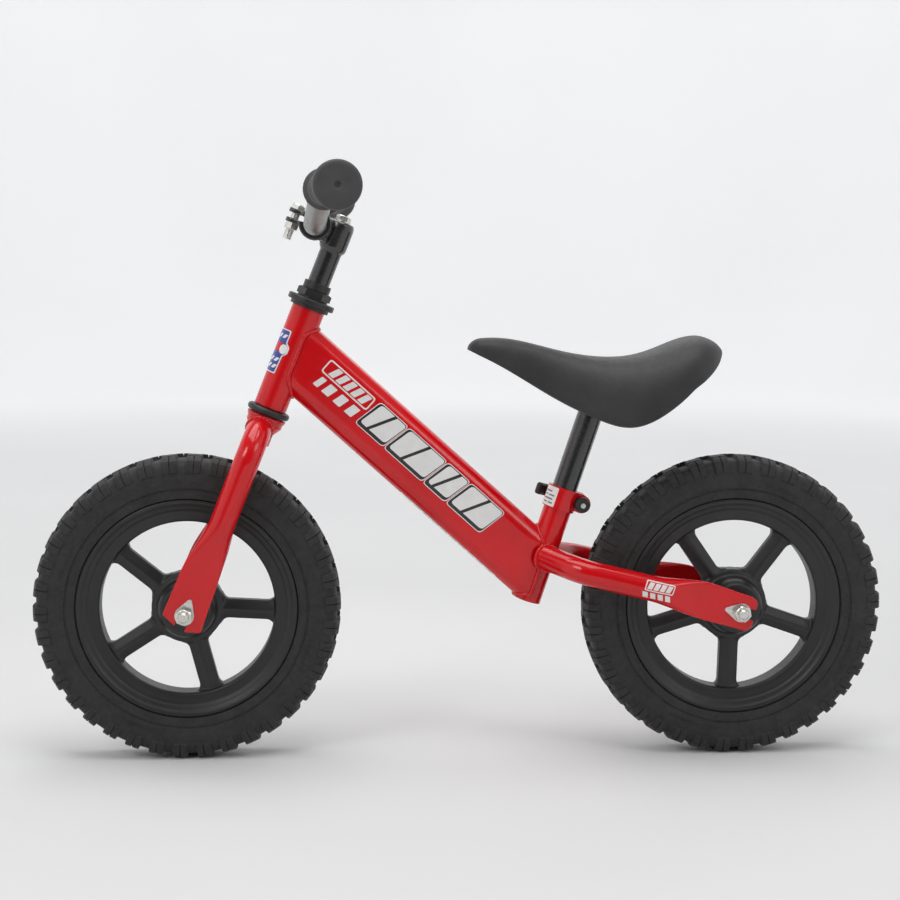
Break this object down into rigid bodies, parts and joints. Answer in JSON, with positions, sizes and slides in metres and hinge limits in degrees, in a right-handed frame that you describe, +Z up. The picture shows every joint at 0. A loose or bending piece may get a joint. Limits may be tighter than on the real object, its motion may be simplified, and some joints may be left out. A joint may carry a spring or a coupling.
{
  "type": "balance bike",
  "caption": "Pedal-free child's balance bike with a red steel frame and fork, black spoked wheels with foam tyres, a raised handlebar and a saddle on a quick-release post.",
  "frame": {"origin": "on the ground, midway between the two axles, in the middle plane of the bike", "axes": "+X forwards, +Y to the rider's left, +Z up; both axles lie along Y"},
  "size_m": [0.854, 0.4308, 0.5845],
  "materials": {
    "red_paint": "glossy red stoved enamel with small orange peel",
    "black_paint": "gloss black enamel on the stem and seat post",
    "black_plastic": "satin moulded plastic",
    "headset_rubber": "matte moulded rubber",
    "zinc_steel": "bright zinc plating",
    "bearing_steel": "ground and polished",
    "bar_satin": "satin grey plating",
    "grip_rubber": "matte soft rubber",
    "tyre_foam": "matte closed-cell foam",
    "saddle_foam": "matte self-skinned foam with a fine grain"
  },
  "bodies": {
    "frame": {"head_tube": "red_paint", "main_tube": "red_paint", "seat_tube": "red_paint", "chainstay_left": "red_paint", "chainstay_right": "red_paint", "headset_upper_cup": "black_plastic", "headset_lower_cup": "headset_rubber", "headset_upper_balls": "bearing_steel", "headset_lower_balls": "bearing_steel", "seat_clamp": "red_paint", "clamp_skewer": "zinc_steel", "clamp_washer": "black_plastic", "clamp_nut": "black_plastic", "clamp_pivot_pin": "zinc_steel", "rear_axle": "zinc_steel", "rear_spacers": "zinc_steel", "rear_bearing_inners": "bearing_steel", "rear_tab_washers": "zinc_steel", "rear_axle_nuts": "zinc_steel"},
    "fork": {"fork_steerer": "red_paint", "fork_leg_left": "red_paint", "fork_leg_right": "red_paint", "crown_race": "bearing_steel", "headset_top_race": "black_plastic", "headset_lock_nut": "black_plastic", "headset_cap": "black_plastic", "front_axle": "zinc_steel", "front_spacers": "zinc_steel", "front_bearing_inners": "bearing_steel", "front_tab_washers": "zinc_steel", "front_axle_nuts": "zinc_steel"},
    "stem": {"stem": "black_paint", "expander_bolt": "zinc_steel", "expander_wedge": "zinc_steel", "bar_clamp_bolt": "zinc_steel", "bar_clamp_nut": "zinc_steel"},
    "handlebar": {"handlebar": "bar_satin", "grip_left": "grip_rubber", "grip_right": "grip_rubber"},
    "seat": {"seat_post": "black_paint", "saddle_plate": "black_paint", "saddle_bolts": "zinc_steel", "saddle_base": "black_plastic", "saddle": "saddle_foam"},
    "lever": {"quick_release_lever": "black_plastic"},
    "front_wheel": {"front_tyre": "tyre_foam", "front_rim": "black_plastic", "front_spokes": "black_plastic", "front_hub": "black_plastic", "front_bearing_outers": "bearing_steel", "front_bearing_balls": "bearing_steel"},
    "rear_wheel": {"rear_tyre": "tyre_foam", "rear_rim": "black_plastic", "rear_spokes": "black_plastic", "rear_hub": "black_plastic", "rear_bearing_outers": "bearing_steel", "rear_bearing_balls": "bearing_steel"}
  },
  "joints": [
    {"name": "steering", "type": "hinge", "parent": "frame", "child": "fork", "pos_m": [0.27077, 0, 0.15105], "axis": [-0.3633, 0, 0.9317], "continuous": true},
    {"name": "stem_height", "type": "slide", "parent": "fork", "child": "stem", "axis": [-0.3633, 0, 0.9317], "range_m": [-0.01, 0.03]},
    {"name": "bar_tilt", "type": "hinge", "parent": "stem", "child": "handlebar", "pos_m": [0.14802, 0, 0.53198], "axis": [0, 1, 0], "range_deg": [-20, 20]},
    {"name": "seat_height", "type": "slide", "parent": "frame", "child": "seat", "axis": [-0.3123, 0, 0.95], "range_m": [-0.05, 0.02]},
    {"name": "quick_release", "type": "hinge", "parent": "frame", "child": "lever", "pos_m": [-0.11904, -0.0175, 0.25512], "axis": [0.3123, 0, -0.95], "range_deg": [0, 150]},
    {"name": "front_wheel_spin", "type": "hinge", "parent": "fork", "child": "front_wheel", "pos_m": [0.2745, 0, 0.1525], "axis": [0, 1, 0], "continuous": true},
    {"name": "rear_wheel_spin", "type": "hinge", "parent": "frame", "child": "rear_wheel", "pos_m": [-0.2745, 0, 0.1525], "axis": [0, 1, 0], "continuous": true}
  ]
}
